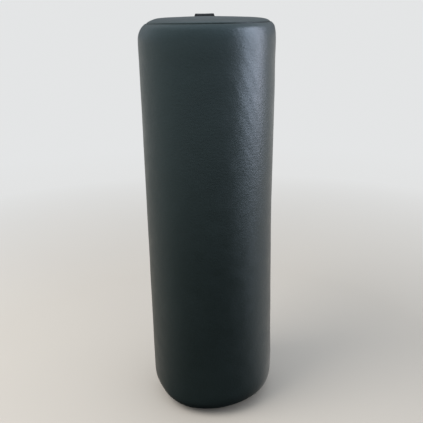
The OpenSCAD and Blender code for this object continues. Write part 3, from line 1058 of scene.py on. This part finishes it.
# ---------------------------------------------------------------- build every piece
tube = build_tube(LEATHERETTE)
finish_piece(tube, "bolster", "leatherette", "cover_tube")
top_roll_z = seam_roll(TOP_CORNER, TOP_ROUNDING + CAP_PUFF, SEAM_RADIUS - ROLL, 1)[0]
bottom_roll_z = seam_roll(BOTTOM_CORNER, BOTTOM_ROUNDING, SEAM_RADIUS - ROLL, -1)[0]
top_cap = build_cap("top_end_cap_leatherette", top_cap_outline(), top_roll_z, 13, LEATHERETTE)
finish_piece(top_cap, "bolster", "leatherette", "top_end_cap")
bottom_cap = build_cap("bottom_end_cap_leatherette", bottom_cap_outline(), bottom_roll_z, 14,
                       LEATHERETTE, flat_rows=13)
finish_piece(bottom_cap, "bolster", "leatherette", "bottom_end_cap")

finish_piece(build_foam(FOAM), "bolster", "foam", "foam_core")
finish_piece(build_wrap(WADDING), "bolster", "wadding", "wadding_wrap")
finish_piece(build_top_pad(WADDING), "bolster", "wadding", "top_wadding_pad")
finish_piece(build_bottom_pad(WADDING), "bolster", "wadding", "bottom_wadding_pad")

loop = build_loop(WEBBING)
finish_piece(loop, None, "webbing", "carry_loop", "carry_loop_tails")
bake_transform(loop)

for side, hand in ((-1, "left"), (1, "right")):
    coil = build_coil("zip_coil_turns_" + hand, "zip_coil_" + hand, side, COIL)
    finish_piece(coil, "bolster", "zip_coil", "zip_coil_" + hand)
    paint("zip_tape_" + hand, ZIP_TAPE)
finish_piece(build_stitches(THREAD), "bolster", "thread", "zip_topstitching")
finish_piece(build_slider(ZIP_METAL), "slider", "zip_metal", "zip_slider")

for node in ("top_seam_thread", "bottom_seam_thread"):
    finish_piece(build_seam_thread(node + "_run", node, THREAD), "bolster", "thread", node)
paint("carry_loop_bartack", THREAD)
for node in ("zip_top_stops", "zip_bottom_stop", "zip_pull"):
    soften_edges(paint(node, ZIP_METAL), 0.45 * MM)


# ---------------------------------------------------------------- floor, light and camera
def build_floor(material):
    """A wide disc whose rings lie closer together near the bolster."""
    rings = np.array([(radius, 0.0) for radius in (0.05, 0.5, 1.5, 5, 20, 80, 400)])
    angles = np.linspace(0, TURN, 64, endpoint=False)
    points, faces = revolve_grid(rings, angles)
    faces = [face[::-1] for face in faces] + [tuple(range(len(angles)))]
    new_object("floor", points, faces, material)


def area_light(name, place, target, width, height, power, colour, mirrored):
    """A soft panel of light for reflections only, or for everything but reflections."""
    data = bpy.data.lights.new(name, "AREA")
    data.shape = "RECTANGLE"
    data.size, data.size_y = width, height
    data.energy = power
    data.color = colour
    lamp = bpy.data.objects.new(name, data)
    lamp.location = place
    lamp.rotation_euler = (Vector(target) - Vector(place)).to_track_quat("-Z", "Y").to_euler()
    lamp.visible_glossy = mirrored
    lamp.visible_diffuse = not mirrored
    lamp.visible_camera = False
    bpy.context.scene.collection.objects.link(lamp)


# What the camera sees beyond the floor near the bolster
BACKDROP = (0.775, 0.785, 0.79)


def floor_look():
    """Pale and plain in view. In reflections and bounce light the floor is a glow with painted
    light and shade: dim in front of the bolster and beside it, brighter further away.
    """
    look = Look("pale_floor", Roughness=0.6, Specular_IOR_Level=0.3)
    tone = look.ramp(look.noise(1.3, 3), (0.465, 0.42, 0.37), (0.485, 0.44, 0.385))
    look.set(Base_Color=tone, Normal=look.bump(look.noise(300, 3), 0.05 * MM, 0.2))
    distance = look.add("VectorMath", {0: look.place}, operation="LENGTH").outputs["Value"]
    axes = look.axes()
    rightness = look.math("DIVIDE", axes["X"], distance)
    backness = look.math("DIVIDE", axes["Y"], distance)

    def by_distance(low, high, low_at, high_at):
        """Blends two values between two distances from the bolster."""
        reach = 6.0
        share = look.math("DIVIDE", distance, reach)
        return look.ramp(share, low, high, low_at / reach, high_at / reach)

    backdrop = look.glow(by_distance((0.73, 0.73, 0.72), BACKDROP, 0.45, 1.8))
    far = by_distance(0.0, 1.0, 0.48, 1.35)
    seen = look.mix_shaders(far, look.shader.outputs[0], backdrop)
    # painted shade: close to the bolster the glow is darker, except towards +X
    near = look.ramp(rightness, (0.44, 0.4, 0.35), (0.66, 0.63, 0.6), 0.3, 1.0)
    distant = look.ramp(rightness, (0.68, 0.68, 0.66), (0.88, 0.88, 0.86), 0.0, 0.5)
    beside = look.mix(by_distance(0.0, 1.0, 0.3, 2.5), near, distant)
    # painted shade in front of the bolster: the glow is dark close by and brightens far away
    front_painted_shade = by_distance(0.015, 0.95, 0.6, 5.7)
    side = look.fade(backness, 0, 1, -0.98, 0.17)
    # painted light and shade: a glowing floor that only reflections and bounce light see
    mirrored = look.glow(look.mix(side, front_painted_shade, beside))
    look.wire(look.by_view(mirrored, seen), look.nodes["Material Output"].inputs["Surface"])
    return look.material


def build_world():
    """Soft surroundings in reflections, brighter overhead, dim straight behind the bolster."""
    world = bpy.data.worlds.new("studio")
    bpy.context.scene.world = world
    world.use_nodes = True
    sky = Nodes(world.node_tree)
    view = sky.add("TexCoord", {}).outputs["Generated"]

    def towards(direction, low, high, low_at, high_at):
        """Goes from low to high as the view turns towards a direction."""
        along = sky.add("VectorMath", {0: view, 1: direction}, operation="DOT_PRODUCT")
        return sky.fade(along.outputs["Value"], low, high, low_at, high_at)

    round_about = towards((-0.6, 0.8, 0), 0.66, 0.88, -0.2, 0.95)
    behind = towards((0, 1, 0), 1.0, 0.35, 0.55, 0.96)
    overhead = towards((0.4, 0, 0.92), 1.0, 1.9, 0.15, 0.95)
    strength = sky.math("MULTIPLY", sky.math("MULTIPLY", round_about, behind), overhead)
    mirrored = sky.nodes["Background"]
    sky.wire((0.9, 0.98, 1.07, 1), mirrored.inputs["Color"])
    sky.wire(strength, mirrored.inputs["Strength"])
    seen = sky.add("Background", {"Color": (*BACKDROP, 1)})
    both = sky.by_view(mirrored.outputs[0], seen.outputs[0])
    sky.wire(both, sky.nodes["World Output"].inputs["Surface"])


def build_camera():
    """The viewpoint: just above the top end, looking down along the bolster."""
    data = bpy.data.cameras.new("camera")
    data.sensor_width = 36
    data.lens = 50.8
    data.clip_start, data.clip_end = 0.02, 1000
    camera = bpy.data.objects.new("camera", data)
    distance, above = 0.911, 0.0253
    pitch, roll = math.radians(-19.57), math.radians(-0.93)
    camera.location = (0.0027, -distance, LENGTH + above)
    look = Matrix.Rotation(math.pi / 2 + pitch, 4, "X") @ Matrix.Rotation(roll, 4, "Z")
    camera.rotation_euler = look.to_euler()
    bpy.context.scene.collection.objects.link(camera)
    bpy.context.scene.camera = camera


build_floor(floor_look())
area_light("window", place=(1.9, -0.37, 1.16), target=(0, -0.37, 1.16), width=1.5, height=2.08,
           power=73, colour=(0.99, 0.885, 1.0), mirrored=True)
area_light("lamp", place=(-1.2, -0.6, 1.75), target=(0, 0, 0), width=1.3, height=1.3,
           power=33, colour=(1.0, 0.985, 0.96), mirrored=False)
build_world()
build_camera()
bpy.context.scene.view_settings.view_transform = "Standard"
